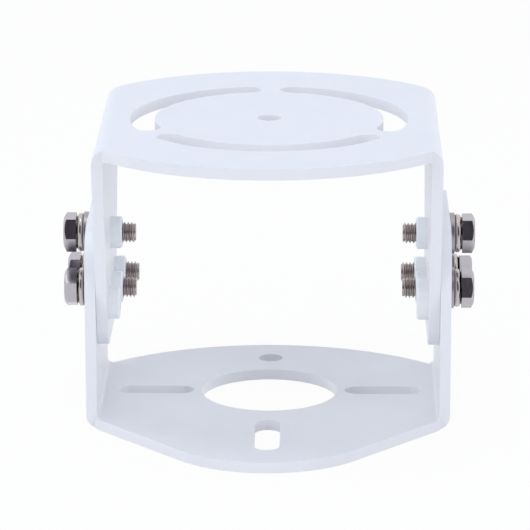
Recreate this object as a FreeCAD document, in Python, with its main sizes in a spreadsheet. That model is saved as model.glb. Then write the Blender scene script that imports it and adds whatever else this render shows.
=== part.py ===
import FreeCAD, Part
import os
import math
import Sketcher

# Camera pole mount bracket: two folded steel U brackets, one standing inside the other.
# The lower bracket stands on its base plate, and the upper one hangs between its flanges.
# Bolts in curved slots clamp the two together, and set the tilt.
# X runs from side to side, Y to the back and Z up. The origin is the centre of the base plate's
# round hole, at the plate's underside.

# Driving dimensions, in millimetres and degrees.
DRIVING = {
    # The sheet that both brackets are folded from, with its coat, and its inside bend.
    "sheet_wall": 3.0,
    "bend_inside": 1.0,
    # Upper bracket: the width over its flanges, its top face, and the disc that its plate is cut from.
    "upper_width": 95.0,
    "top_height": 82.6,
    "disc_radius": 59.0,
    # Upper flanges: half their depth at the shoulder and at the tip, the shoulder's drop from the
    # top face, the tip's drop below the pivot, and the radius of the tip's corners.
    "shoulder_half": 38.7,
    "shoulder_drop": 6.6,
    "tip_half": 21.0,
    "tip_drop": 12.2,
    "tip_corner": 10.0,
    # Ring of curved slots in the top plate: radius of its middle line, width, and sweep of a slot.
    "ring_radius": 35.4,
    "ring_slot_width": 7.0,
    "ring_slot_sweep": 100.0,
    "top_hole": 6.6,
    # Lower bracket: the gap between the two brackets' flanges, and the pivot's height.
    "side_gap": 0.05,
    "pivot_height": 33.4,
    # Lower flanges: half their depth, the height of their head above the pivot, and the radius of
    # its corners at the front and at the back.
    "lower_half": 27.0,
    "head_rise": 22.4,
    "front_corner": 12.0,
    "back_corner": 4.0,
    # Base plate: reach and radius of its nose, the slope that runs into it, and its bowed back.
    "nose_reach": 64.6,
    "nose_radius": 32.0,
    "nose_slope": 48.0,
    "back_reach": 43.8,
    "back_radius": 68.0,
    # Openings of the base plate.
    "base_hole": 38.5,
    "side_slot_place": 32.2,
    "side_slot_length": 21.5,
    "side_slot_width": 7.0,
    "nose_slot_place": 40.7,
    "nose_slot_length": 26.4,
    "nose_slot_width": 7.0,
    "back_hole_place": 31.0,
    "back_hole": 7.0,
    # Tilt joint: circle of the clamp bolts round the pivot, the pivot's hole, and the curved slots.
    "clamp_radius": 16.0,
    "pivot_hole": 6.6,
    "tilt_slot_width": 6.8,
    "tilt_half_sweep": 25.0,
    # Hexagon bolts: thread, length and point, and the head with the round face under it.
    "thread_diameter": 5.9,
    "bolt_length": 16.2,
    "bolt_point": 0.6,
    "head_flats": 9.8,
    "head_height": 4.0,
    "head_top_width": 8.6,
    "bevel_angle": 30.0,
    "head_face": 9.2,
    "head_face_height": 0.5,
    # Split washers and flat washers under the bolt heads.
    "spring_outer": 10.8,
    "spring_inner": 6.3,
    "spring_height": 1.6,
    "spring_split": 0.8,
    "flat_outer": 11.6,
    "flat_inner": 6.4,
    "flat_height": 1.6,
    # Press nuts in the upper flanges, with a spigot that fills the flange's hole.
    "nut_outer": 9.0,
    "nut_height": 3.2,
    "nut_edge": 0.5,
    "nut_spigot": 8.0,
    "spigot_clearance": 0.03,
    "thread_clearance": 0.05,
    # How far the outlines that trim a solid reach past it.
    "cut_margin": 5.0,
}

# Dimensions that follow from the driving ones.
DERIVED = {
    "upper_outer": "=upper_width / 2",
    "upper_inner": "=upper_outer - sheet_wall",
    "lower_inner": "=upper_outer + side_gap",
    "lower_outer": "=lower_inner + sheet_wall",
    "bend_outside": "=bend_inside + sheet_wall",
    "plate_under": "=top_height - sheet_wall",
    "shoulder_height": "=top_height - shoulder_drop",
    "tip_height": "=pivot_height - tip_drop",
    "disc_end_x": "=sqrt(disc_radius ^ 2 - shoulder_half ^ 2)",
    "ring_slot_half": "=ring_slot_sweep / 2",
    "upper_clamp_height": "=pivot_height + clamp_radius",
    "lower_head": "=pivot_height + head_rise",
    "above_bend": "=sheet_wall + bend_inside",
    "nose_centre": "=nose_reach - nose_radius",
    "nose_end_x": "=nose_radius * sin(nose_slope)",
    "nose_end_y": "=nose_centre + nose_radius * cos(nose_slope)",
    "slope_end_x": "=nose_end_x + (nose_end_y - lower_half) / tan(nose_slope)",
    "back_centre": "=back_radius - back_reach",
    "relief_x": "=lower_inner - bend_inside",
    "relief_y": "=sqrt(back_radius ^ 2 - relief_x ^ 2) - back_centre",
    "side_slot_cap": "=side_slot_width / 2",
    "side_slot_near": "=side_slot_place - side_slot_length / 2 + side_slot_cap",
    "side_slot_far": "=side_slot_place + side_slot_length / 2 - side_slot_cap",
    "nose_slot_cap": "=nose_slot_width / 2",
    "nose_slot_near": "=nose_slot_place - nose_slot_length / 2 + nose_slot_cap",
    "nose_slot_far": "=nose_slot_place + nose_slot_length / 2 - nose_slot_cap",
    "spring_place": "=lower_outer + flat_height",
    "bolt_place": "=spring_place + spring_height",
    "head_corner_radius": "=head_flats / sqrt(3)",
    "head_top_radius": "=head_top_width / 2",
    "bevel_reach": "=head_corner_radius + cut_margin",
    "bevel_foot": "=head_height - (bevel_reach - head_top_radius) * tan(bevel_angle)",
    "bevel_over": "=head_height + cut_margin",
    "split_half": "=spring_split / 2",
    "split_wide": "=spring_height / 2 + split_half",
    "split_narrow": "=spring_height / 2 - split_half",
    "split_top": "=spring_height + split_half",
    "trim_side": "=lower_outer + cut_margin",
    "trim_past_side": "=lower_outer + 2 * cut_margin",
    "trim_depth": "=disc_radius + nose_reach",
    "trim_past_depth": "=trim_depth + cut_margin",
    "trim_over": "=top_height + cut_margin",
    "trim_past_over": "=top_height + 2 * cut_margin",
}

# Clamp places round the pivot: the place along Y and the height.
PLACES = {
    "top": ("0", "upper_clamp_height"),
    "back": ("clamp_radius", "pivot_height"),
    "pivot": ("0", "pivot_height"),
    "front": ("-clamp_radius", "pivot_height"),
}

# The places that hold a bolt, with how far a flat of its head is turned up from facing the front.
HEAD_TURNS = {
    ("left", "top"): 23.6,
    ("left", "back"): 22.0,
    ("left", "pivot"): 54.5,
    ("right", "top"): 23.6,
    ("right", "back"): 45.0,
    ("right", "pivot"): 16.0,
}

# Where the split of each split washer points, as an angle about the bolt: all lie below or behind.
SPLIT_TURNS = {
    ("left", "top"): 300.0,
    ("left", "back"): 330.0,
    ("left", "pivot"): 285.0,
    ("right", "top"): 250.0,
    ("right", "back"): 215.0,
    ("right", "pivot"): 240.0,
}

SIDES = {"left": -1, "right": 1}
QUARTER_TURN = 90.0
FULL_TURN = 360.0

# The ring of slots in the top plate: how many there are, and the way the first one faces.
RING_SLOTS = 3
RING_FACING = -90.0

# How far a found edge may lie from the place it is looked for at.
HAIR = 0.001

# The clamp places that have a curved slot in the lower flanges, and the way each slot faces from
# the pivot, as an angle from the back, upwards.
CURVED_SLOTS = {"top": 90.0, "back": 0.0, "front": 180.0}

doc = FreeCAD.newDocument("bracket")


def fill_sheet():
    """Writes every size to the sheet, and returns their values by name."""
    sheet = doc.addObject("Spreadsheet::Sheet", "Sizes")
    for row, (alias, content) in enumerate([*DRIVING.items(), *DERIVED.items()], start=1):
        sheet.set(f"A{row}", alias)
        sheet.set(f"B{row}", str(content))
        sheet.setAlias(f"B{row}", alias)
    doc.recompute()
    return {alias: float(sheet.get(alias)) for alias in [*DRIVING, *DERIVED]}


SIZE = fill_sheet()


def value(reference):
    """The number for a size's name, which may have a minus sign in front, or for 0."""
    if reference == "0":
        return 0.0
    if reference.startswith("-"):
        return -SIZE[reference[1:]]
    return SIZE[reference]


def expression(reference):
    """The same as a formula on the sheet."""
    if reference.startswith("-"):
        return f"-Sizes.{reference[1:]}"
    return f"Sizes.{reference}"


def new_body(label):
    body = doc.addObject("PartDesign::Body", label)
    body.Label = label
    return body


def new_sketch(body, name, role):
    """A sketch on one of the body's own origin planes."""
    sketch = body.newObject("Sketcher::SketchObject", f"{body.Name}_{name}")
    planes = [feature for feature in body.Origin.OriginFeatures if feature.Role == role]
    sketch.AttachmentSupport = [(planes[0], "")]
    sketch.MapMode = "FlatFace"
    return sketch


def bind(sketch, kind, references, formula, number):
    """Adds one dimension to a sketch and ties it to the sheet."""
    index = sketch.addConstraint(Sketcher.Constraint(kind, *references, number))
    sketch.setExpression(f"Constraints[{index}]", formula)


def pin(sketch, geometry, point, x=None, y=None):
    """Holds a point of a sketch at sizes measured from the sketch's origin."""
    for kind, reference, axis in (("DistanceX", x, -2), ("DistanceY", y, -1)):
        if reference == "0":
            sketch.addConstraint(Sketcher.Constraint("PointOnObject", geometry, point, axis))
        elif reference:
            bind(sketch, kind, (-1, 1, geometry, point), expression(reference), value(reference))


def draw_outline(sketch, corners):
    """Draws a closed outline anticlockwise through its corners. A corner is (x, y), or
    (x, y, centre x, centre y) where an arc about that centre leaves it."""
    first = sketch.GeometryCount
    count = len(corners)
    for index, corner in enumerate(corners):
        start = FreeCAD.Vector(value(corner[0]), value(corner[1]), 0)
        following = corners[(index + 1) % count]
        end = FreeCAD.Vector(value(following[0]), value(following[1]), 0)
        if len(corner) == 2:
            sketch.addGeometry(Part.LineSegment(start, end), False)
        else:
            centre = FreeCAD.Vector(value(corner[2]), value(corner[3]), 0)
            begin = math.atan2(start.y - centre.y, start.x - centre.x)
            finish = math.atan2(end.y - centre.y, end.x - centre.x)
            if finish <= begin:
                finish += math.tau
            circle = Part.Circle(centre, FreeCAD.Vector(0, 0, 1), (start - centre).Length)
            sketch.addGeometry(Part.ArcOfCircle(circle, begin, finish), False)
    for index in range(count):
        joint = (first + index, 2, first + (index + 1) % count, 1)
        sketch.addConstraint(Sketcher.Constraint("Coincident", *joint))
    for index, corner in enumerate(corners):
        pin(sketch, first + index, 1, corner[0], corner[1])
        if len(corner) == 4:
            upright = corner[0] == corners[(index + 1) % count][0]
            centre_x = corner[2] if upright else None
            centre_y = None if upright else corner[3]
            pin(sketch, first + index, 3, centre_x, centre_y)


def draw_circle(sketch, x, y, diameter):
    centre = FreeCAD.Vector(value(x), value(y), 0)
    circle = Part.Circle(centre, FreeCAD.Vector(0, 0, 1), value(diameter) / 2)
    geometry = sketch.addGeometry(circle, False)
    pin(sketch, geometry, 3, x, y)
    bind(sketch, "Diameter", (geometry,), expression(diameter), value(diameter))


def draw_curved_slot(sketch, centre_y, radius, width, half_sweep, facing):
    """Draws a slot that follows a circle about (0, centre_y), with its middle at the angle
    facing. Its ends are half circles."""
    middle = FreeCAD.Vector(0, value(centre_y), 0)
    axis = FreeCAD.Vector(0, 0, 1)
    cap = value(width) / 2
    low = math.radians(facing - value(half_sweep))
    high = math.radians(facing + value(half_sweep))
    half_turn = math.pi
    outer = sketch.addGeometry(
        Part.ArcOfCircle(Part.Circle(middle, axis, value(radius) + cap), low, high), False)
    inner = sketch.addGeometry(
        Part.ArcOfCircle(Part.Circle(middle, axis, value(radius) - cap), low, high), False)
    ends = []
    for angle, turn in ((low, half_turn), (high, 0)):
        spot = middle + FreeCAD.Vector(math.cos(angle), math.sin(angle), 0) * value(radius)
        arc = Part.ArcOfCircle(Part.Circle(spot, axis, cap), angle + turn, angle + turn + half_turn)
        ends.append(sketch.addGeometry(arc, False))
    low_end, high_end = ends
    for joint in ((outer, 1, low_end, 2), (inner, 1, low_end, 1),
                  (outer, 2, high_end, 1), (inner, 2, high_end, 2)):
        sketch.addConstraint(Sketcher.Constraint("Tangent", *joint))
    pin(sketch, outer, 3, "0", centre_y)
    sketch.addConstraint(Sketcher.Constraint("Coincident", inner, 3, outer, 3))
    bind(sketch, "Radius", (low_end,), f"Sizes.{width} / 2", cap)
    base = "0" if centre_y == "0" else expression(centre_y)
    reach = expression(radius)
    angles = (f"({facing} - {expression(half_sweep)})", f"({facing} + {expression(half_sweep)})")
    low_x = value(radius) * math.cos(low)
    low_y = value(centre_y) + value(radius) * math.sin(low)
    bind(sketch, "DistanceX", (-1, 1, low_end, 3), f"{reach} * cos({angles[0]})", low_x)
    bind(sketch, "DistanceY", (-1, 1, low_end, 3), f"{base} + {reach} * sin({angles[0]})", low_y)
    if abs(math.sin(high)) > abs(math.cos(high)):
        high_x = value(radius) * math.cos(high)
        bind(sketch, "DistanceX", (-1, 1, high_end, 3), f"{reach} * cos({angles[1]})", high_x)
    else:
        high_y = value(centre_y) + value(radius) * math.sin(high)
        bind(sketch, "DistanceY", (-1, 1, high_end, 3), f"{base} + {reach} * sin({angles[1]})", high_y)


def settled(body, before, removes):
    """Rebuilds, and makes sure that the last feature took material off or put some on."""
    doc.recompute()
    after = body.Shape.Volume
    if (before - after if removes else after - before) <= 0:
        raise RuntimeError(f"{body.Label}: {body.Tip.Name} changed nothing")


def pad(body, sketch, length):
    before = body.Shape.Volume if body.Tip else 0.0
    feature = body.newObject("PartDesign::Pad", f"{sketch.Name}_pad")
    feature.Profile = sketch
    feature.SideType = "Symmetric"
    feature.setExpression("Length", length)
    settled(body, before, False)
    return feature


def cut_through(body, sketch):
    """Cuts the sketch right through the solid, both ways."""
    before = body.Shape.Volume
    feature = body.newObject("PartDesign::Pocket", f"{sketch.Name}_cut")
    feature.Profile = sketch
    feature.SideType = "Symmetric"
    feature.Type = "ThroughAll"
    settled(body, before, True)
    return feature


def straight_edges(shape, direction, places):
    """Names of the edges that run along a direction and pass within a hair of the places, which
    are given as points with None for the coordinate along the edge."""
    names = []
    for number, edge in enumerate(shape.Edges, start=1):
        if not isinstance(edge.Curve, (Part.Line, Part.LineSegment)):
            continue
        start, end = edge.Vertexes[0].Point, edge.Vertexes[-1].Point
        along = (end - start).normalize()
        if abs(abs(along.dot(direction)) - 1) > HAIR:
            continue
        for place in places:
            spans = [abs(start[axis] - spot) for axis, spot in enumerate(place) if spot is not None]
            if max(spans) < HAIR:
                names.append(f"Edge{number}")
    return names


def round_edges(body, name, direction, places, count, radius):
    """Rounds the straight edges of a body that run along a direction through the places, of which
    there must be a given count."""
    edges = straight_edges(body.Shape, direction, places)
    if len(edges) != count:
        raise RuntimeError(f"{body.Label}: {len(edges)} of {count} edges found for {name}")
    base = body.Tip
    feature = body.newObject("PartDesign::Fillet", f"{body.Name}_{name}")
    feature.Base = (base, edges)
    feature.setExpression("Radius", f"Sizes.{radius}")
    doc.recompute()
    return feature


ALONG_X = FreeCAD.Vector(1, 0, 0)
ALONG_Y = FreeCAD.Vector(0, 1, 0)


def fold(body, outer, inner, web_outside, web_inside, flange_end):
    """Makes a U of sheet along Y, with its corners bent: outer and inner are the flanges' faces,
    and the web lies between its outside and inside heights."""
    sketch = new_sketch(body, "section", "XZ_Plane")
    corners = [
        (f"-{outer}", web_outside), (outer, web_outside), (outer, flange_end), (inner, flange_end),
        (inner, web_inside), (f"-{inner}", web_inside), (f"-{inner}", flange_end),
        (f"-{outer}", flange_end),
    ]
    draw_outline(sketch, corners)
    pad(body, sketch, "Sizes.trim_depth * 2")
    for name, side, height, radius in (("outer_bend", outer, web_outside, "bend_outside"),
                                       ("inner_bend", inner, web_inside, "bend_inside")):
        places = [(sign * value(side), None, value(height)) for sign in (-1, 1)]
        round_edges(body, name, ALONG_Y, places, len(places), radius)


def round_flange_corner(body, name, along, height, radius):
    """Rounds one end corner of both flanges."""
    places = [(None, value(along), value(height))]
    round_edges(body, name, ALONG_X, places, len(SIDES), radius)


def trim(body, name, role, frame, corners):
    """Cuts away all that lies outside an outline, as far as a larger frame round it."""
    sketch = new_sketch(body, name, role)
    draw_outline(sketch, frame)
    draw_outline(sketch, corners)
    cut_through(body, sketch)


def plan_frame():
    side, depth = "trim_past_side", "trim_past_depth"
    return [(f"-{side}", f"-{depth}"), (side, f"-{depth}"), (side, depth), (f"-{side}", depth)]


def side_frame():
    depth, over = "trim_past_depth", "trim_past_over"
    return [(f"-{depth}", f"-{over}"), (depth, f"-{over}"), (depth, over), (f"-{depth}", over)]


def upper_bracket():
    """The inner U: a round plate with a ring of curved slots, and two tapered flanges."""
    body = new_body("upper_bracket")
    fold(body, "upper_outer", "upper_inner", "top_height", "plate_under", "tip_height")

    side, half = "trim_side", "shoulder_half"
    trim(body, "plan", "XY_Plane", plan_frame(), [
        ("-disc_end_x", f"-{half}", "0", "0"),
        ("disc_end_x", f"-{half}"), (side, f"-{half}"), (side, half),
        ("disc_end_x", half, "0", "0"),
        ("-disc_end_x", half), (f"-{side}", half), (f"-{side}", f"-{half}"),
    ])

    depth = "trim_depth"
    trim(body, "flange", "YZ_Plane", side_frame(), [
        ("-tip_half", "tip_height"), ("tip_half", "tip_height"),
        ("shoulder_half", "shoulder_height"), (depth, "shoulder_height"),
        (depth, "trim_over"), (f"-{depth}", "trim_over"),
        (f"-{depth}", "shoulder_height"), ("-shoulder_half", "shoulder_height"),
    ])
    round_flange_corner(body, "front_tip", "-tip_half", "tip_height", "tip_corner")
    round_flange_corner(body, "back_tip", "tip_half", "tip_height", "tip_corner")

    ring = new_sketch(body, "ring_slot", "XY_Plane")
    draw_curved_slot(ring, "0", "ring_radius", "ring_slot_width", "ring_slot_half", RING_FACING)
    slot = cut_through(body, ring)
    before = body.Shape.Volume
    pattern = body.newObject("PartDesign::PolarPattern", f"{body.Name}_ring")
    pattern.Originals = [slot]
    pattern.Axis = (ring, ["N_Axis"])
    pattern.Angle = FULL_TURN
    pattern.Occurrences = RING_SLOTS
    body.Tip = pattern
    settled(body, before, True)

    centre = new_sketch(body, "centre_hole", "XY_Plane")
    draw_circle(centre, "0", "0", "top_hole")
    cut_through(body, centre)

    holes = new_sketch(body, "nut_holes", "YZ_Plane")
    for along, height in PLACES.values():
        draw_circle(holes, along, height, "nut_spigot")
    cut_through(body, holes)
    return body


def lower_bracket():
    """The outer U: a base plate with a rounded nose and a bowed back, and two upright flanges."""
    body = new_body("lower_bracket")
    fold(body, "lower_outer", "lower_inner", "0", "sheet_wall", "lower_head")

    side, half = "trim_side", "lower_half"
    trim(body, "plan", "XY_Plane", plan_frame(), [
        ("-nose_end_x", "-nose_end_y", "0", "-nose_centre"),
        ("nose_end_x", "-nose_end_y"), ("slope_end_x", f"-{half}"),
        (side, f"-{half}"), (side, half), ("relief_x", half),
        ("relief_x", "relief_y", "0", "-back_centre"), ("-relief_x", "relief_y"),
        ("-relief_x", half), (f"-{side}", half), (f"-{side}", f"-{half}"),
        ("-slope_end_x", f"-{half}"),
    ])

    depth = "trim_depth"
    trim(body, "flange", "YZ_Plane", side_frame(), [
        (f"-{depth}", "-trim_over"), (depth, "-trim_over"), (depth, "above_bend"),
        (half, "above_bend"), (half, "lower_head"), (f"-{half}", "lower_head"),
        (f"-{half}", "above_bend"), (f"-{depth}", "above_bend"),
    ])
    round_flange_corner(body, "front_head", f"-{half}", "lower_head", "front_corner")
    round_flange_corner(body, "back_head", half, "lower_head", "back_corner")

    base = new_sketch(body, "base_openings", "XY_Plane")
    draw_circle(base, "0", "0", "base_hole")
    draw_circle(base, "0", "back_hole_place", "back_hole")
    near, far, cap = "side_slot_near", "side_slot_far", "side_slot_cap"
    draw_outline(base, [
        (near, f"-{cap}"), (far, f"-{cap}", far, "0"), (far, cap), (near, cap, near, "0")])
    draw_outline(base, [
        (f"-{far}", f"-{cap}"), (f"-{near}", f"-{cap}", f"-{near}", "0"),
        (f"-{near}", cap), (f"-{far}", cap, f"-{far}", "0")])
    near, far, cap = "nose_slot_near", "nose_slot_far", "nose_slot_cap"
    draw_outline(base, [
        (cap, f"-{far}"), (cap, f"-{near}", "0", f"-{near}"),
        (f"-{cap}", f"-{near}"), (f"-{cap}", f"-{far}", "0", f"-{far}")])
    cut_through(body, base)

    tilt = new_sketch(body, "tilt_openings", "YZ_Plane")
    draw_circle(tilt, "0", "pivot_height", "pivot_hole")
    for facing in CURVED_SLOTS.values():
        draw_curved_slot(tilt, "pivot_height", "clamp_radius", "tilt_slot_width",
                         "tilt_half_sweep", facing)
    cut_through(body, tilt)
    return body


def shape_feature(body, kind, name, start=None, **sizes):
    """Adds or takes away a simple solid on the body's axis, from a start height, with its sizes
    given as formulas."""
    before = body.Shape.Volume if body.Tip else 0.0
    feature = body.newObject(f"PartDesign::{kind}", f"{body.Name}_{name}")
    for size_name, formula in sizes.items():
        feature.setExpression(size_name, formula)
    if start:
        feature.setExpression("Placement.Base.z", start)
    settled(body, before, kind.startswith("Subtractive"))
    return feature


def bevel_rims(body, name, heights, radius, size):
    """Bevels the round edges of a body at some heights on its axis."""
    rims = []
    for number, edge in enumerate(body.Shape.Edges, start=1):
        if not isinstance(edge.Curve, Part.Circle) or abs(edge.Curve.Radius - radius) > HAIR:
            continue
        if any(abs(edge.Curve.Center.z - height) < HAIR for height in heights):
            rims.append(f"Edge{number}")
    if len(rims) != len(heights):
        raise RuntimeError(f"{body.Label}: {len(rims)} of {len(heights)} rims found for {name}")
    before = body.Shape.Volume
    base = body.Tip
    feature = body.newObject("PartDesign::Chamfer", f"{body.Name}_{name}")
    feature.Base = (base, rims)
    feature.setExpression("Size", f"Sizes.{size}")
    settled(body, before, True)


def stand(body, side, place, out, outward=True, turn=0.0):
    """Puts a body at a clamp place, with its axis along X, pointing outwards or inwards, at a
    distance out from the middle."""
    sign = SIDES[side]
    facing = sign if outward else -sign
    upright = FreeCAD.Rotation(FreeCAD.Vector(0, 1, 0), facing * QUARTER_TURN)
    spin = FreeCAD.Rotation(FreeCAD.Vector(0, 0, 1), turn)
    body.Placement = FreeCAD.Placement(FreeCAD.Vector(0, 0, 0), upright.multiply(spin))
    along, height = PLACES[place]
    body.setExpression("Placement.Base.x", f"{sign} * Sizes.{out}")
    if along != "0":
        body.setExpression("Placement.Base.y", expression(along))
    body.setExpression("Placement.Base.z", expression(height))


def hexagon_bolt(side, place):
    """A hexagon bolt: its axis starts under the head, with the shank below."""
    body = new_body(f"{side}_{place}_bolt")
    shape_feature(body, "AdditivePrism", "head", "Sizes.head_face_height",
                  Circumradius="Sizes.head_corner_radius",
                  Height="Sizes.head_height - Sizes.head_face_height")
    bevel = new_sketch(body, "bevel", "XZ_Plane")
    draw_outline(bevel, [("head_top_radius", "head_height"), ("bevel_reach", "bevel_foot"),
                         ("bevel_reach", "bevel_over")])
    before = body.Shape.Volume
    groove = body.newObject("PartDesign::Groove", f"{body.Name}_corners")
    groove.Profile = bevel
    groove.ReferenceAxis = (bevel, ["V_Axis"])
    groove.Angle = FULL_TURN
    settled(body, before, True)
    shape_feature(body, "AdditiveCylinder", "face", Radius="Sizes.head_face / 2",
                  Height="Sizes.head_face_height")
    shape_feature(body, "AdditiveCylinder", "shank", "-Sizes.bolt_length",
                  Radius="Sizes.thread_diameter / 2", Height="Sizes.bolt_length")
    bevel_rims(body, "point", [-value("bolt_length")], value("thread_diameter") / 2, "bolt_point")
    stand(body, side, place, "bolt_place", turn=-SIDES[side] * HEAD_TURNS[side, place])
    return body


def split_washer(side, place):
    """A split washer, pressed flat, with a slanted cut across its ring."""
    body = new_body(f"{side}_{place}_spring_washer")
    shape_feature(body, "AdditiveCylinder", "ring", Radius="Sizes.spring_outer / 2",
                  Height="Sizes.spring_height")
    shape_feature(body, "SubtractiveCylinder", "hole", "-Sizes.cut_margin",
                  Radius="Sizes.spring_inner / 2",
                  Height="Sizes.spring_height + 2 * Sizes.cut_margin")
    split = new_sketch(body, "split", "YZ_Plane")
    draw_outline(split, [("-split_wide", "-split_half"), ("-split_narrow", "-split_half"),
                         ("split_wide", "split_top"), ("split_narrow", "split_top")])
    before = body.Shape.Volume
    cut = body.newObject("PartDesign::Pocket", f"{body.Name}_split_cut")
    cut.Profile = split
    cut.setExpression("Length", "Sizes.spring_outer")
    settled(body, before, True)
    stand(body, side, place, "spring_place", turn=SPLIT_TURNS[side, place])
    return body


def flat_washer(side, place):
    """A flat washer that lies on the lower flange."""
    body = new_body(f"{side}_{place}_flat_washer")
    shape_feature(body, "AdditiveCylinder", "disc", Radius="Sizes.flat_outer / 2",
                  Height="Sizes.flat_height")
    shape_feature(body, "SubtractiveCylinder", "hole", "-Sizes.cut_margin",
                  Radius="Sizes.flat_inner / 2",
                  Height="Sizes.flat_height + 2 * Sizes.cut_margin")
    stand(body, side, place, "lower_outer")
    return body


def press_nut(side, place):
    """A round press nut: its boss stands on the inside of the upper flange, and its spigot fills
    the flange's hole."""
    body = new_body(f"{side}_{place}_nut")
    shape_feature(body, "AdditiveCylinder", "boss", Radius="Sizes.nut_outer / 2",
                  Height="Sizes.nut_height")
    shape_feature(body, "AdditiveCylinder", "spigot", "-Sizes.sheet_wall",
                  Radius="Sizes.nut_spigot / 2 - Sizes.spigot_clearance",
                  Height="Sizes.sheet_wall")
    shape_feature(body, "SubtractiveCylinder", "bore", "-Sizes.sheet_wall - Sizes.cut_margin",
                  Radius="Sizes.thread_diameter / 2 + Sizes.thread_clearance",
                  Height="Sizes.sheet_wall + Sizes.nut_height + 2 * Sizes.cut_margin")
    bevel_rims(body, "rim", [value("nut_height")], value("nut_outer") / 2, "nut_edge")
    stand(body, side, place, "upper_inner", outward=False)
    return body


bodies = [upper_bracket(), lower_bracket()]
for side_name in SIDES:
    for place_name in PLACES:
        bodies.append(press_nut(side_name, place_name))
for side_name, place_name in HEAD_TURNS:
    bodies.append(flat_washer(side_name, place_name))
    bodies.append(split_washer(side_name, place_name))
    bodies.append(hexagon_bolt(side_name, place_name))
doc.recompute()

for item in doc.Objects:
    if "Invalid" in item.State or "Error" in item.State:
        raise RuntimeError(f"{item.Label} failed: {item.State}")
for piece in bodies:
    if piece.Shape.isNull() or not piece.Shape.isValid() or len(piece.Shape.Solids) != 1:
        raise RuntimeError(f"{piece.Label} has no sound solid")

os.makedirs("parts", exist_ok=True)
for piece in bodies:
    piece.Shape.exportStep(f"parts/{piece.Label}.step")
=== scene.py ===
import math

import bmesh
import bpy
from bpy.props import FloatProperty, FloatVectorProperty, IntProperty, PointerProperty
from mathutils import Matrix, Vector


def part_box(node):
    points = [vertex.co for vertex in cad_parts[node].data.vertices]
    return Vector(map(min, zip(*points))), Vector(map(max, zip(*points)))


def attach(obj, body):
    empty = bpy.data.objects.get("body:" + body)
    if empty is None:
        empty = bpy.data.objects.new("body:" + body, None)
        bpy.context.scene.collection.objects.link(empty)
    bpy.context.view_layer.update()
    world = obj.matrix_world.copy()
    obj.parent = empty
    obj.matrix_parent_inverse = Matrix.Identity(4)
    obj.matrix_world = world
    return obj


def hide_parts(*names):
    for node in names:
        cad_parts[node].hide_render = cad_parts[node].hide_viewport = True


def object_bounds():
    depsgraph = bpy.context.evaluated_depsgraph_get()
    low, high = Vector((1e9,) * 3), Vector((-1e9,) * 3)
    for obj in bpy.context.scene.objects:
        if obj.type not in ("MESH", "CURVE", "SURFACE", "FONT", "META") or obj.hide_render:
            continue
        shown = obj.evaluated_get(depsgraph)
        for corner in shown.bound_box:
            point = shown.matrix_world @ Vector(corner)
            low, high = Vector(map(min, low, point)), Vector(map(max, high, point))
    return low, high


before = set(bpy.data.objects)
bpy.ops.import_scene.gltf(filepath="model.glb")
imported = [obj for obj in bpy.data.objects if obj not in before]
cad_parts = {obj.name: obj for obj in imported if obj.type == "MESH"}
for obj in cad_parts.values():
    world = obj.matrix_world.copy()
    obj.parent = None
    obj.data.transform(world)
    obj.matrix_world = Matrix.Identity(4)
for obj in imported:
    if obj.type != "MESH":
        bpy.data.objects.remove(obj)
CAD_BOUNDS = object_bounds()

bl_info = {
    "name": "Camera pole mount bracket",
    "version": (1, 0, 0),
    "blender": (4, 5, 0),
    "location": "3D View > Sidebar > Bracket",
    "description": "Dresses the two folded brackets with their coat, bolts, washers and nuts",
    "category": "Object",
}

BRACKETS = {"upper_bracket": "upper", "lower_bracket": "lower"}
SIDES = {"left": -1, "right": 1}
BOLTED = ("top", "back", "pivot")
NUTTED = (*BOLTED, "front")
FASTENER_BODY = "upper"
# The neck mark picks the faces of a bolt's narrow neck next to its washer, which get a painted
# shade.
NECK_SHADE_MARK = "neck"

# Shapes, with lengths in metres.
WELD_DISTANCE = 1e-6
ROUND_STEPS = 3
HEAD_ROUND_STEPS = 4
QUARTER_TURN = math.pi / 2
FLAT_ANGLE = math.radians(1.0)
SOFT_ANGLE = math.radians(30.0)
SHARP_ANGLE = math.radians(35.0)
CORNER_ANGLE = math.radians(40.0)

# Threads: their room in a nut, the crest as a share of the pitch, and the turns that are made
# beyond the rod and cut off again.
THREAD_GAP = 0.0001
FLANK_ANGLE = math.radians(30.0)
CREST_SHARE = 1 / 8
SPARE_TURNS = 2
LEAD_TURNS = 1.5

# Patterns of the finishes: widths and depths in metres, and each roughness as a range.
NOISE_DETAIL = 2.0
NOISE_MIDDLE = (0.3, 0.7)
CLOUD_WIDTH = 0.03
CLOUD_SHADE = 0.985
GRAINS_IN_GLOSS = 4
RIPPLE_DETAIL = 3.0
RIPPLE_DEPTH = 0.00003
RIPPLE_STRENGTH = 0.35
STREAK_WIDTH = 0.0003
STREAK_SCALE = (1.0, 0.12, 0.12)
STAIN_WIDTH = 0.002
STAIN_SHADE = 0.96
COAT_ROUGHNESS = (0.36, 0.48)
HEAD_ROUGHNESS = (0.2, 0.26)
THREAD_ROUGHNESS = (0.28, 0.36)
SPRING_ROUGHNESS = (0.2, 0.3)
FLAT_ROUGHNESS = (0.3, 0.42)
PAPER_ROUGHNESS = 0.9

# Colour sockets of a Mix node, which share their names with the sockets of its other kinds.
MIX_FIRST = 6
MIX_SECOND = 7
MIX_RESULT = 2
WHITE = (1.0, 1.0, 1.0, 1.0)

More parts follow.
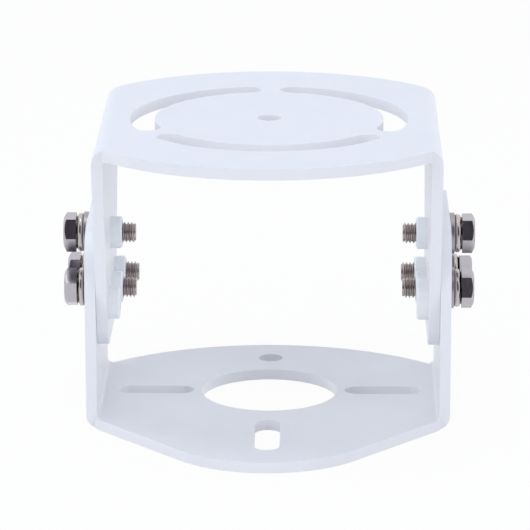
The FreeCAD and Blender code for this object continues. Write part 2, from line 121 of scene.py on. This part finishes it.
# Studio, with lengths in metres, angles in radians and the sensor in millimetres.
FLOOR_RADIUS = 6.0
FLOOR_SIDES = 64
FLOOR_GAP = 0.0001
CARD_SIZE = (4.4, 3.3)
CARD_PLACE = (0.0, -2.0, 1.7)
OVERHEAD_WIDTH = 0.6
OVERHEAD_PLACE = (-0.1, 0.0, 1.1)
GLINT_WIDTH = 0.3
GLINT_PLACE = (-0.15, 0.0, 1.0)
LAMP_WIDTH = 0.8
FRONT_PLACE = (-0.2, -1.05, 1.2)
CORNER_PLACE = (1.3, 0.9, 0.4)
CAMERA_PLACE = (0.014217, -0.991811, 0.318758)
CAMERA_PITCH = 0.27404
CAMERA_YAW = -0.01555
CAMERA_ROLL = 0.00104
SENSOR_WIDTH = 36.0


# Sizes and colours that a user would change.

class CoatSettings(bpy.types.PropertyGroup):
    colour: FloatVectorProperty(
        name="Coat", description="Colour of the powder coat on both brackets",
        subtype="COLOR", size=3, min=0, max=1, default=(0.88, 0.89, 0.91))
    # The nut colour is partly the nuts' own greener tint and partly painted light: a lighter copy
    # of the coat, making up for the weaker light on the round nuts.
    nut_tint_and_painted_light: FloatVectorProperty(
        name="Nuts", description="Colour of the coat on the press nuts",
        subtype="COLOR", size=3, min=0, max=1, default=(0.93, 0.96, 0.955))
    edge_round: FloatProperty(
        name="Edge round", description="Radius that the coat leaves on the edges of the sheet",
        unit="LENGTH", min=0.0001, max=0.001, default=0.0005)
    nut_round: FloatProperty(
        name="Nut edge round", description="Radius on the edges of the press nuts",
        unit="LENGTH", min=0.0001, max=0.001, default=0.0004)
    grain: FloatProperty(
        name="Grain", description="Width of the ripples in the powder coat",
        unit="LENGTH", min=0.0003, max=0.005, default=0.0011)


class BoltSettings(bpy.types.PropertyGroup):
    steel: FloatVectorProperty(
        name="Bolt steel", description="Colour of the bolt heads",
        subtype="COLOR", size=3, min=0, max=1, default=(0.50, 0.48, 0.52))
    thread_steel: FloatVectorProperty(
        name="Thread steel", description="Colour of the threads",
        subtype="COLOR", size=3, min=0, max=1, default=(0.50, 0.44, 0.42))
    # The neck colour is a painted shade: dark brown standing for the shade in the recess between a
    # head and its washer.
    neck: FloatVectorProperty(
        name="Neck", description="Colour of the narrow neck between a head and its washer",
        subtype="COLOR", size=3, min=0, max=1, default=(0.105, 0.085, 0.083))
    head_round: FloatProperty(
        name="Head round", description="Radius on the outer edges and corners of the heads",
        unit="LENGTH", min=0.0001, max=0.0006, default=0.00045)
    rim_round: FloatProperty(
        name="Rim round", description="Radius on the edges of the heads that face the washers",
        unit="LENGTH", min=0.0001, max=0.0003, default=0.00028)
    pitch: FloatProperty(
        name="Pitch", description="Distance from one thread crest to the next",
        unit="LENGTH", min=0.0005, max=0.002, default=0.001)
    depth: FloatProperty(
        name="Thread depth", description="Depth of the thread from its crest to its root",
        unit="LENGTH", min=0.0001, max=0.001, default=0.00055)
    steps: IntProperty(
        name="Steps", description="Steps of the thread in one turn", min=12, max=72, default=40)


class WasherSettings(bpy.types.PropertyGroup):
    steel: FloatVectorProperty(
        name="Spring washer steel", description="Colour of the split washers",
        subtype="COLOR", size=3, min=0, max=1, default=(0.55, 0.52, 0.52))
    dull_steel: FloatVectorProperty(
        name="Flat washer steel", description="Colour of the flat washers",
        subtype="COLOR", size=3, min=0, max=1, default=(0.42, 0.39, 0.41))
    spring_round: FloatProperty(
        name="Spring washer round", description="Radius on the edges of the split washers",
        unit="LENGTH", min=0.0001, max=0.0008, default=0.0006)
    flat_round: FloatProperty(
        name="Flat washer round", description="Radius on the edges of the flat washers",
        unit="LENGTH", min=0.0001, max=0.0008, default=0.0003)


class StudioSettings(bpy.types.PropertyGroup):
    paper: FloatVectorProperty(
        name="Paper", description="Colour of the floor",
        subtype="COLOR", size=3, min=0, max=1, default=(0.98, 0.97, 0.95))
    sky: FloatVectorProperty(
        name="Sky", description="Colour of the even light from all round",
        subtype="COLOR", size=3, min=0, max=1, default=(0.51, 0.52, 0.60))
    overhead: FloatProperty(
        name="Overhead lamp", description="Power of the lamp above", unit="POWER",
        min=0, max=100, default=2.3)
    glint: FloatProperty(
        name="Glint lamp", description="Power of the small lamp above that the steel mirrors",
        unit="POWER", min=0, max=10, default=0.45)
    front: FloatProperty(
        name="Front lamp", description="Power of the large lamp in front and above",
        unit="POWER", min=0, max=100, default=1.95)
    fill: FloatProperty(
        name="Fill lamps", description="Power of each of the two large lamps at the front corners",
        unit="POWER", min=0, max=100, default=4.1)
    back: FloatProperty(
        name="Back lamps", description="Power of each of the two large lamps at the back corners",
        unit="POWER", min=0, max=100, default=3.0)
    cool: FloatVectorProperty(
        name="Overhead colour", description="Colour of the lamp above",
        subtype="COLOR", size=3, min=0, max=1, default=(0.57, 0.80, 1.0))
    plain: FloatVectorProperty(
        name="Lamp colour", description="Colour of the lamps in front and at the corners",
        subtype="COLOR", size=3, min=0, max=1, default=(1.0, 1.0, 1.0))
    card: FloatVectorProperty(
        name="Dark card", description="Colour of the card that the steel mirrors in front",
        subtype="COLOR", size=3, min=0, max=1, default=(0.092, 0.080, 0.086))
    shadow_share: FloatProperty(
        name="Shadow share", description="How much of the floor's own shading shows on the white",
        min=0, max=1, default=0.07)
    focal_length: FloatProperty(
        name="Focal length", description="Focal length of the camera, in millimetres",
        min=10, max=1000, default=247.92)


# Materials.

class Finish:
    """A node material round one Principled shader, with its patterns on object coordinates."""

    def __init__(self, name):
        self.material = bpy.data.materials.new(name)
        self.material.use_nodes = True
        self.tree = self.material.node_tree
        self.shader = self.tree.nodes["Principled BSDF"]
        self.place = self.add("ShaderNodeTexCoord").outputs["Object"]

    def add(self, kind, links=None, **values):
        """Adds a node with its settings and the values and links of its sockets."""
        made = self.tree.nodes.new(kind)
        for name, setting in values.items():
            if hasattr(made, name):
                setattr(made, name, setting)
            else:
                made.inputs[name.replace("_", " ")].default_value = setting
        for name, source in (links or {}).items():
            self.tree.links.new(source, made.inputs[name])
        return made

    def noise(self, width, detail=NOISE_DETAIL, place=None):
        """Noise whose features are about a given width."""
        made = self.add("ShaderNodeTexNoise", {"Vector": place or self.place},
                        Scale=1.0 / width, Detail=detail)
        return made.outputs["Fac"]

    def between(self, source, low, high):
        """Spreads the middle of a noise over a range."""
        middle_low, middle_high = NOISE_MIDDLE
        made = self.add("ShaderNodeMapRange", {"Value": source}, From_Min=middle_low,
                        From_Max=middle_high, To_Min=low, To_Max=high)
        return made.outputs["Result"]

    def blend(self, source, first, second):
        """Mixes two colours, the first of which may be another mix, by a noise or a mark."""
        made = self.add("ShaderNodeMix", {"Factor": source}, data_type="RGBA")
        if isinstance(first, bpy.types.NodeSocket):
            self.tree.links.new(first, made.inputs[MIX_FIRST])
        else:
            made.inputs[MIX_FIRST].default_value = (*first, 1.0)
        made.inputs[MIX_SECOND].default_value = (*second, 1.0)
        return made.outputs[MIX_RESULT]

    def bump(self, height, depth, strength):
        """Lets a pattern tilt the surface."""
        made = self.add("ShaderNodeBump", {"Height": height}, Strength=strength, Distance=depth)
        self.tree.links.new(made.outputs["Normal"], self.shader.inputs["Normal"])

    def feed(self, name, source):
        """Links a pattern to a socket of the shader."""
        self.tree.links.new(source, self.shader.inputs[name])

    def set(self, name, setting):
        """Gives a socket of the shader one value."""
        self.shader.inputs[name].default_value = setting


def shade(colour, share):
    """A colour made darker or lighter by a share."""
    return tuple(channel * share for channel in colour)


def powder_coat(name, colour, grain):
    """A satin powder coat: a faint ripple, and a gloss that varies a little over the sheet."""
    finish = Finish(name)
    clouds = finish.between(finish.noise(CLOUD_WIDTH), 0.0, 1.0)
    finish.feed("Base Color", finish.blend(clouds, shade(colour, CLOUD_SHADE), colour))
    gloss = finish.noise(grain * GRAINS_IN_GLOSS)
    finish.feed("Roughness", finish.between(gloss, *COAT_ROUGHNESS))
    ripple = finish.noise(grain, detail=RIPPLE_DETAIL)
    finish.bump(ripple, RIPPLE_DEPTH, RIPPLE_STRENGTH)
    return finish.material


def turned_steel(name, colour, roughness, neck=None):
    """Bright steel with fine streaks round the bolt's axis, a little duller in places, and with a
    dark painted shade where the mesh is marked as a neck, for the shade in the recess by the
    washer."""
    finish = Finish(name)
    stretched = finish.add("ShaderNodeMapping", {"Vector": finish.place}, Scale=STREAK_SCALE)
    streaks = finish.noise(STREAK_WIDTH, place=stretched.outputs["Vector"])
    stains = finish.between(finish.noise(STAIN_WIDTH), 0.0, 1.0)
    skin = finish.blend(stains, shade(colour, STAIN_SHADE), colour)
    # Painted shade: the marked neck faces take the dark neck colour over the steel.
    if neck is not None:
        mark = finish.add("ShaderNodeAttribute", attribute_name=NECK_SHADE_MARK).outputs["Fac"]
        skin = finish.blend(mark, skin, neck)
    finish.feed("Base Color", skin)
    finish.set("Metallic", 1.0)
    finish.feed("Roughness", finish.between(streaks, *roughness))
    return finish.material


# Pieces.

def merged_copy(node):
    """The CAD node's mesh in one skin, with the triangles of each flat face joined."""
    shell = bmesh.new()
    shell.from_mesh(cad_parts[node].data)
    bmesh.ops.remove_doubles(shell, verts=shell.verts, dist=WELD_DISTANCE)
    bmesh.ops.dissolve_limit(shell, angle_limit=FLAT_ANGLE, verts=shell.verts, edges=shell.edges)
    return shell


def linked(name, data):
    """A new object in the scene."""
    made = bpy.data.objects.new(name, data)
    bpy.context.scene.collection.objects.link(made)
    return made


def piece_from(shell, name, material):
    """An object made of a mesh that is finished but for its modifiers."""
    mesh = bpy.data.meshes.new(name)
    shell.to_mesh(mesh)
    shell.free()
    mesh.materials.append(material)
    mesh.shade_smooth()
    return linked(name, mesh)


def cut_off(shell, place, direction):
    """Cuts away what lies past a plane, and gives the edges of the cut."""
    cut = bmesh.ops.bisect_plane(
        shell, geom=[*shell.verts, *shell.edges, *shell.faces], dist=WELD_DISTANCE,
        plane_co=place, plane_no=direction, clear_outer=True)
    return [item for item in cut["geom_cut"] if isinstance(item, bmesh.types.BMEdge)]


def round_edges(shell, edges, width, segments=ROUND_STEPS):
    """Rounds some edges of a shell."""
    bmesh.ops.bevel(shell, geom=edges, offset=width, offset_type="OFFSET", segments=segments,
                    profile=0.5, affect="EDGES", clamp_overlap=True, material=-1)


def edges_at(edges, distance):
    """Those of some edges that lie at one distance from the middle, along X."""
    return [edge for edge in edges
            if all(abs(abs(vert.co.x) - distance) < WELD_DISTANCE for vert in edge.verts)]


def weigh_normals(piece):
    """Shades the large faces of a piece as flat, and the rounds between them as round."""
    normals = piece.modifiers.new("normals", "WEIGHTED_NORMAL")
    normals.keep_sharp = True


def keep_flat(piece):
    """Marks the sharp edges of a finished piece, and keeps its flat faces flat."""
    piece.data.set_sharp_from_angle(angle=SHARP_ANGLE)
    weigh_normals(piece)


def soften(piece, width, clamp=True):
    """Rounds the sharp edges of a piece, and keeps its flat faces flat."""
    bevel = piece.modifiers.new("edges", "BEVEL")
    bevel.use_clamp_overlap = clamp
    bevel.width = width
    bevel.segments = ROUND_STEPS
    bevel.profile = 0.5
    bevel.limit_method = "ANGLE"
    bevel.angle_limit = SOFT_ANGLE
    bevel.harden_normals = True
    weigh_normals(piece)


def seat(piece, node, body):
    """Gives the piece its body and finish, and lets it stand for its CAD node."""
    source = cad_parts[node].data
    source.materials.clear()
    source.materials.append(piece.data.materials[0])
    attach(piece, body)
    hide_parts(node)


def axis_of(node):
    """Centre of a node that is round about an axis along X, as (y, z)."""
    low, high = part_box(node)
    return (low.y + high.y) / 2, (low.z + high.z) / 2


def helix(crest, depth, pitch, turns, steps):
    """A thread's skin about Z, from the origin up: one tooth's outline, turned and lifted at
    once."""
    root = crest - depth
    flank = depth * math.tan(FLANK_ANGLE)
    flat = pitch * CREST_SHARE
    rest = pitch - 2 * flank - flat
    outline = [(root, 0.0), (root, rest), (crest, rest + flank),
               (crest, rest + flank + flat), (root, pitch)]
    thread = bmesh.new()
    corners = [thread.verts.new((radius, 0.0, height)) for radius, height in outline]
    edges = [thread.edges.new(pair) for pair in zip(corners, corners[1:])]
    bmesh.ops.spin(
        thread, geom=corners + edges, cent=(0, 0, 0), axis=(0, 0, 1),
        dvec=(0, 0, pitch / steps), angle=math.tau * turns, steps=steps * turns,
        use_merge=False, use_normal_flip=False, use_duplicate=False)
    bmesh.ops.remove_doubles(thread, verts=thread.verts, dist=WELD_DISTANCE)
    return thread


def threaded_shank(crest, depth, pitch, length, point, steps):
    """A threaded rod about Z, from its point at the origin up, with the point bevelled."""
    turns = math.ceil(length / pitch) + SPARE_TURNS
    rod = helix(crest, depth, pitch, turns, steps)
    bmesh.ops.translate(rod, verts=rod.verts, vec=(0, 0, -LEAD_TURNS * pitch))
    for height, direction in ((0.0, -1), (length, 1)):
        edges = cut_off(rod, (0, 0, height), (0, 0, direction))
        bmesh.ops.edgeloop_fill(rod, edges=edges)
    for vert in rod.verts:
        limit = crest - point + vert.co.z
        reach = vert.co.xy.length
        if reach > limit:
            vert.co.xy *= limit / reach
    bmesh.ops.recalc_face_normals(rod, faces=rod.faces)
    return rod


class BRACKET_OT_brackets(bpy.types.Operator):
    """Rounds the edges of both folded brackets and coats them"""
    bl_idname = "bracket.brackets"
    bl_label = "Folded brackets"

    def execute(self, context):
        coat = context.scene.bracket_coat
        material = powder_coat("white_powder_coat", coat.colour, coat.grain)
        for node, body in BRACKETS.items():
            piece = piece_from(merged_copy(node), f"{node}_sheet", material)
            soften(piece, coat.edge_round)
            seat(piece, node, body)
        return {"FINISHED"}


class BRACKET_OT_nuts(bpy.types.Operator):
    """Makes the round press nuts in the upper bracket's flanges"""
    bl_idname = "bracket.nuts"
    bl_label = "Press nuts"

    def execute(self, context):
        coat = context.scene.bracket_coat
        # Painted light: the nuts take a lighter, greener copy of the bracket coat.
        material = powder_coat("white_nut_coat", coat.nut_tint_and_painted_light, coat.grain)
        for side in SIDES:
            for place in NUTTED:
                node = f"{side}_{place}_nut"
                shell = merged_copy(node)
                free_end = min(abs(corner.x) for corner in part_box(node))
                round_edges(shell, edges_at(shell.edges, free_end), coat.nut_round)
                piece = piece_from(shell, f"{side}_{place}_press_nut", material)
                keep_flat(piece)
                seat(piece, node, FASTENER_BODY)
        return {"FINISHED"}


def thread_radius():
    """Radius of the bolts' thread, from the bore of a nut that it turns in."""
    y, z = axis_of("left_front_nut")
    verts = [vert.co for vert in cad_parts["left_front_nut"].data.vertices]
    return min(math.hypot(co.y - y, co.z - z) for co in verts) - THREAD_GAP


class BRACKET_OT_bolts(bpy.types.Operator):
    """Makes the hexagon bolts: a head with rounded corners on a threaded shank"""
    bl_idname = "bracket.bolts"
    bl_label = "Hexagon bolts"

    def execute(self, context):
        bolt = context.scene.bracket_bolt
        # The bolt steel paints the neck faces with the dark painted shade.
        steel = turned_steel("bolt_steel", bolt.steel, HEAD_ROUGHNESS, neck=bolt.neck)
        thread_steel = turned_steel("thread_steel", bolt.thread_steel, THREAD_ROUGHNESS)
        for side, sign in SIDES.items():
            for place in BOLTED:
                node = f"{side}_{place}_bolt"
                self.head(node, sign, bolt, steel)
                self.shank(node, sign, bolt, thread_steel)
        return {"FINISHED"}

    def under_head(self, node):
        """Where the bolt's head lies on its spring washer, along X."""
        low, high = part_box(node.replace("_bolt", "_spring_washer"))
        return low.x if low.x < 0 else high.x

    def head(self, node, sign, bolt, steel):
        """The head, cut off the CAD bolt, with its outer edges more rounded than its rim."""
        shell = merged_copy(node)
        under = self.under_head(node)
        edges = cut_off(shell, (under, 0, 0), (-sign, 0, 0))
        bmesh.ops.holes_fill(shell, edges=edges)
        bmesh.ops.recalc_face_normals(shell, faces=shell.faces)
        _, outer = self.corners(shell, node, under)
        round_edges(shell, outer, bolt.head_round, HEAD_ROUND_STEPS)
        rim, _ = self.corners(shell, node, under)
        neck_end = abs(rim[0].verts[0].co.x)
        round_edges(shell, rim, bolt.rim_round)
        # Marks the neck faces between the rim and the washer, which the steel paints with a dark
        # painted shade.
        mark = shell.faces.layers.float.new(NECK_SHADE_MARK)
        for face in shell.faces:
            face[mark] = all(abs(vert.co.x) < neck_end + WELD_DISTANCE for vert in face.verts)
        piece = piece_from(shell, f"{node}_head", steel)
        keep_flat(piece)
        seat(piece, node, FASTENER_BODY)

    def corners(self, shell, node, under):
        """The sharp edges of the head's hexagon: those of its rim, and the others."""
        y, z = axis_of(node)

        def reach(vert):
            return math.hypot(vert.co.y - y, vert.co.z - z)

        neck = max(reach(vert) for vert in shell.verts if abs(vert.co.x - under) < WELD_DISTANCE)
        hexagon = [edge for edge in shell.edges
                   if edge.is_manifold and edge.calc_face_angle() > CORNER_ANGLE
                   and all(reach(vert) > neck + WELD_DISTANCE for vert in edge.verts)]
        rim_place = min(abs(vert.co.x) for edge in hexagon for vert in edge.verts)
        rim = edges_at(hexagon, rim_place)
        return rim, [edge for edge in hexagon if edge not in rim]

    def shank(self, node, sign, bolt, steel):
        """The threaded shank, from the bolt's tip to the underside of its head."""
        low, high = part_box(node)
        tip = high.x if sign < 0 else low.x
        rod = threaded_shank(thread_radius(), bolt.depth, bolt.pitch,
                             abs(self.under_head(node) - tip), bolt.depth, bolt.steps)
        y, z = axis_of(node)
        turn = Matrix.Rotation(QUARTER_TURN * sign, 4, "Y")
        bmesh.ops.transform(rod, verts=rod.verts, matrix=Matrix.Translation((tip, y, z)) @ turn)
        piece = piece_from(rod, f"{node}_thread", steel)
        piece.data.set_sharp_from_angle(angle=SHARP_ANGLE)
        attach(piece, FASTENER_BODY)


class BRACKET_OT_washers(bpy.types.Operator):
    """Makes the split washers and the flat washers under the bolt heads"""
    bl_idname = "bracket.washers"
    bl_label = "Washers"

    def execute(self, context):
        washer = context.scene.bracket_washer
        bright = turned_steel("spring_washer_steel", washer.steel, SPRING_ROUGHNESS)
        dull = turned_steel("flat_washer_steel", washer.dull_steel, FLAT_ROUGHNESS)
        kinds = (("spring", washer.spring_round, bright), ("flat", washer.flat_round, dull))
        for side in SIDES:
            for place in BOLTED:
                for kind, width, steel in kinds:
                    node = f"{side}_{place}_{kind}_washer"
                    piece = piece_from(merged_copy(node), f"{node}_steel", steel)
                    soften(piece, width, clamp=False)
                    seat(piece, node, FASTENER_BODY)
        return {"FINISHED"}


# Studio.

def seen_directly(tree):
    """A socket that is 1 for rays from the camera, also by way of a mirror or glass."""
    rays = tree.nodes.new("ShaderNodeLightPath")
    found = rays.outputs["Is Camera Ray"]
    for kind in ("Is Glossy Ray", "Is Transmission Ray"):
        either = tree.nodes.new("ShaderNodeMath")
        either.operation = "MAXIMUM"
        tree.links.new(found, either.inputs[0])
        tree.links.new(rays.outputs[kind], either.inputs[1])
        found = either.outputs[0]
    return found


class BRACKET_OT_studio(bpy.types.Operator):
    """Sets up the white floor, the soft light, the dark card and the camera"""
    bl_idname = "bracket.studio"
    bl_label = "Studio"

    def execute(self, context):
        studio = context.scene.bracket_studio
        context.scene.view_settings.view_transform = "Standard"
        self.floor(studio)
        self.card(studio)
        self.world(context, studio)
        self.lamp("glint_lamp", studio.glint, studio.plain, GLINT_WIDTH, GLINT_PLACE)
        soft = [
            self.lamp("overhead_lamp", studio.overhead, studio.cool, OVERHEAD_WIDTH,
                      OVERHEAD_PLACE),
            self.lamp("front_lamp", studio.front, studio.plain, LAMP_WIDTH, FRONT_PLACE)]
        across, along, height = CORNER_PLACE
        for side, sign in SIDES.items():
            soft.append(self.lamp(f"{side}_front_fill", studio.fill, studio.plain, LAMP_WIDTH,
                                  (sign * across, -along, height)))
            soft.append(self.lamp(f"{side}_back_fill", studio.back, studio.plain, LAMP_WIDTH,
                                  (sign * across, along, height)))
        for lamp in soft:
            lamp.visible_glossy = False
        self.camera(context, studio)
        return {"FINISHED"}

    def floor(self, studio):
        """A wide floor under the object, which shows as white paper with a faint shadow."""
        low = CAD_BOUNDS[0]
        sheet = bmesh.new()
        bmesh.ops.create_circle(
            sheet, cap_ends=True, radius=FLOOR_RADIUS, segments=FLOOR_SIDES)
        bmesh.ops.translate(sheet, verts=sheet.verts, vec=(0, 0, low.z - FLOOR_GAP))
        paper = Finish("white_paper")
        paper.set("Base Color", (*studio.paper, 1.0))
        paper.set("Roughness", PAPER_ROUGHNESS)
        share = paper.add("ShaderNodeMath", {0: seen_directly(paper.tree)}, operation="MULTIPLY")
        share.inputs[1].default_value = 1.0 - studio.shadow_share
        glow = paper.add("ShaderNodeEmission")
        mix = paper.add("ShaderNodeMixShader", {
            "Fac": share.outputs[0], 1: paper.shader.outputs[0], 2: glow.outputs[0]})
        paper.tree.links.new(mix.outputs[0], paper.tree.nodes["Material Output"].inputs["Surface"])
        piece_from(sheet, "paper_floor", paper.material)

    def card(self, studio):
        """A dark card in front and above, which only the steel mirrors."""
        sheet = bmesh.new()
        bmesh.ops.create_grid(sheet, x_segments=1, y_segments=1, size=1.0)
        width, height = CARD_SIZE
        matrix = (Matrix.Translation(CARD_PLACE) @ Matrix.Rotation(QUARTER_TURN, 4, "X")
                  @ Matrix.Diagonal((width / 2, height / 2, 1.0, 1.0)))
        bmesh.ops.transform(sheet, verts=sheet.verts, matrix=matrix)
        black = Finish("dark_card")
        black.set("Base Color", (*studio.card, 1.0))
        black.set("Roughness", 1.0)
        black.set("Specular IOR Level", 0.0)
        card = piece_from(sheet, "dark_card", black.material)
        card.visible_camera = False
        card.visible_diffuse = False
        card.visible_transmission = False
        card.visible_shadow = False

    def world(self, context, studio):
        """Even light from all round, which the camera and the steel see as white."""
        world = bpy.data.worlds.new("studio")
        context.scene.world = world
        world.use_nodes = True
        tree = world.node_tree
        back = tree.nodes["Background"]
        colour = tree.nodes.new("ShaderNodeMix")
        colour.data_type = "RGBA"
        colour.inputs[MIX_FIRST].default_value = (*studio.sky, 1.0)
        colour.inputs[MIX_SECOND].default_value = WHITE
        tree.links.new(seen_directly(tree), colour.inputs["Factor"])
        tree.links.new(colour.outputs[MIX_RESULT], back.inputs["Color"])

    def lamp(self, name, power, colour, width, place):
        """A soft round lamp that faces the object."""
        data = bpy.data.lights.new(name, "AREA")
        data.shape = "DISK"
        data.size = width
        data.energy = power
        data.color = colour
        lamp = linked(name, data)
        middle = (CAD_BOUNDS[0] + CAD_BOUNDS[1]) / 2
        lamp.location = place
        lamp.rotation_euler = (middle - Vector(place)).to_track_quat("-Z", "Y").to_euler()
        return lamp

    def camera(self, context, studio):
        """The camera in front, a little above the object."""
        data = bpy.data.cameras.new("camera")
        data.lens = studio.focal_length
        data.sensor_width = SENSOR_WIDTH
        camera = linked("camera", data)
        turn = (Matrix.Rotation(-CAMERA_YAW, 4, "Z")
                @ Matrix.Rotation(QUARTER_TURN - CAMERA_PITCH, 4, "X")
                @ Matrix.Rotation(-CAMERA_ROLL, 4, "Z"))
        camera.matrix_world = Matrix.Translation(CAMERA_PLACE) @ turn
        context.scene.camera = camera


class BRACKET_PT_panel(bpy.types.Panel):
    """Lists the bracket's pieces and their settings"""
    bl_idname = "BRACKET_PT_panel"
    bl_label = "Camera pole mount bracket"
    bl_space_type = "VIEW_3D"
    bl_region_type = "UI"
    bl_category = "Bracket"

    def draw(self, context):
        for operator, group in STEPS:
            box = self.layout.box()
            box.operator(operator.bl_idname)
            settings = getattr(context.scene, group)
            for name in settings.bl_rna.properties.keys():
                if name not in ("rna_type", "name"):
                    box.prop(settings, name)


GROUPS = {
    "bracket_coat": CoatSettings,
    "bracket_bolt": BoltSettings,
    "bracket_washer": WasherSettings,
    "bracket_studio": StudioSettings,
}
STEPS = (
    (BRACKET_OT_brackets, "bracket_coat"),
    (BRACKET_OT_nuts, "bracket_coat"),
    (BRACKET_OT_bolts, "bracket_bolt"),
    (BRACKET_OT_washers, "bracket_washer"),
    (BRACKET_OT_studio, "bracket_studio"),
)


def register():
    for group in GROUPS.values():
        bpy.utils.register_class(group)
    for name, group in GROUPS.items():
        setattr(bpy.types.Scene, name, PointerProperty(type=group))
    for operator, _ in STEPS:
        bpy.utils.register_class(operator)
    bpy.utils.register_class(BRACKET_PT_panel)


def unregister():
    bpy.utils.unregister_class(BRACKET_PT_panel)
    for operator, _ in reversed(STEPS):
        bpy.utils.unregister_class(operator)
    for name, group in GROUPS.items():
        delattr(bpy.types.Scene, name)
        bpy.utils.unregister_class(group)


def main():
    register()
    bpy.ops.bracket.brackets()
    bpy.ops.bracket.nuts()
    bpy.ops.bracket.bolts()
    bpy.ops.bracket.washers()
    bpy.ops.bracket.studio()


if __name__ == "__main__":
    main()
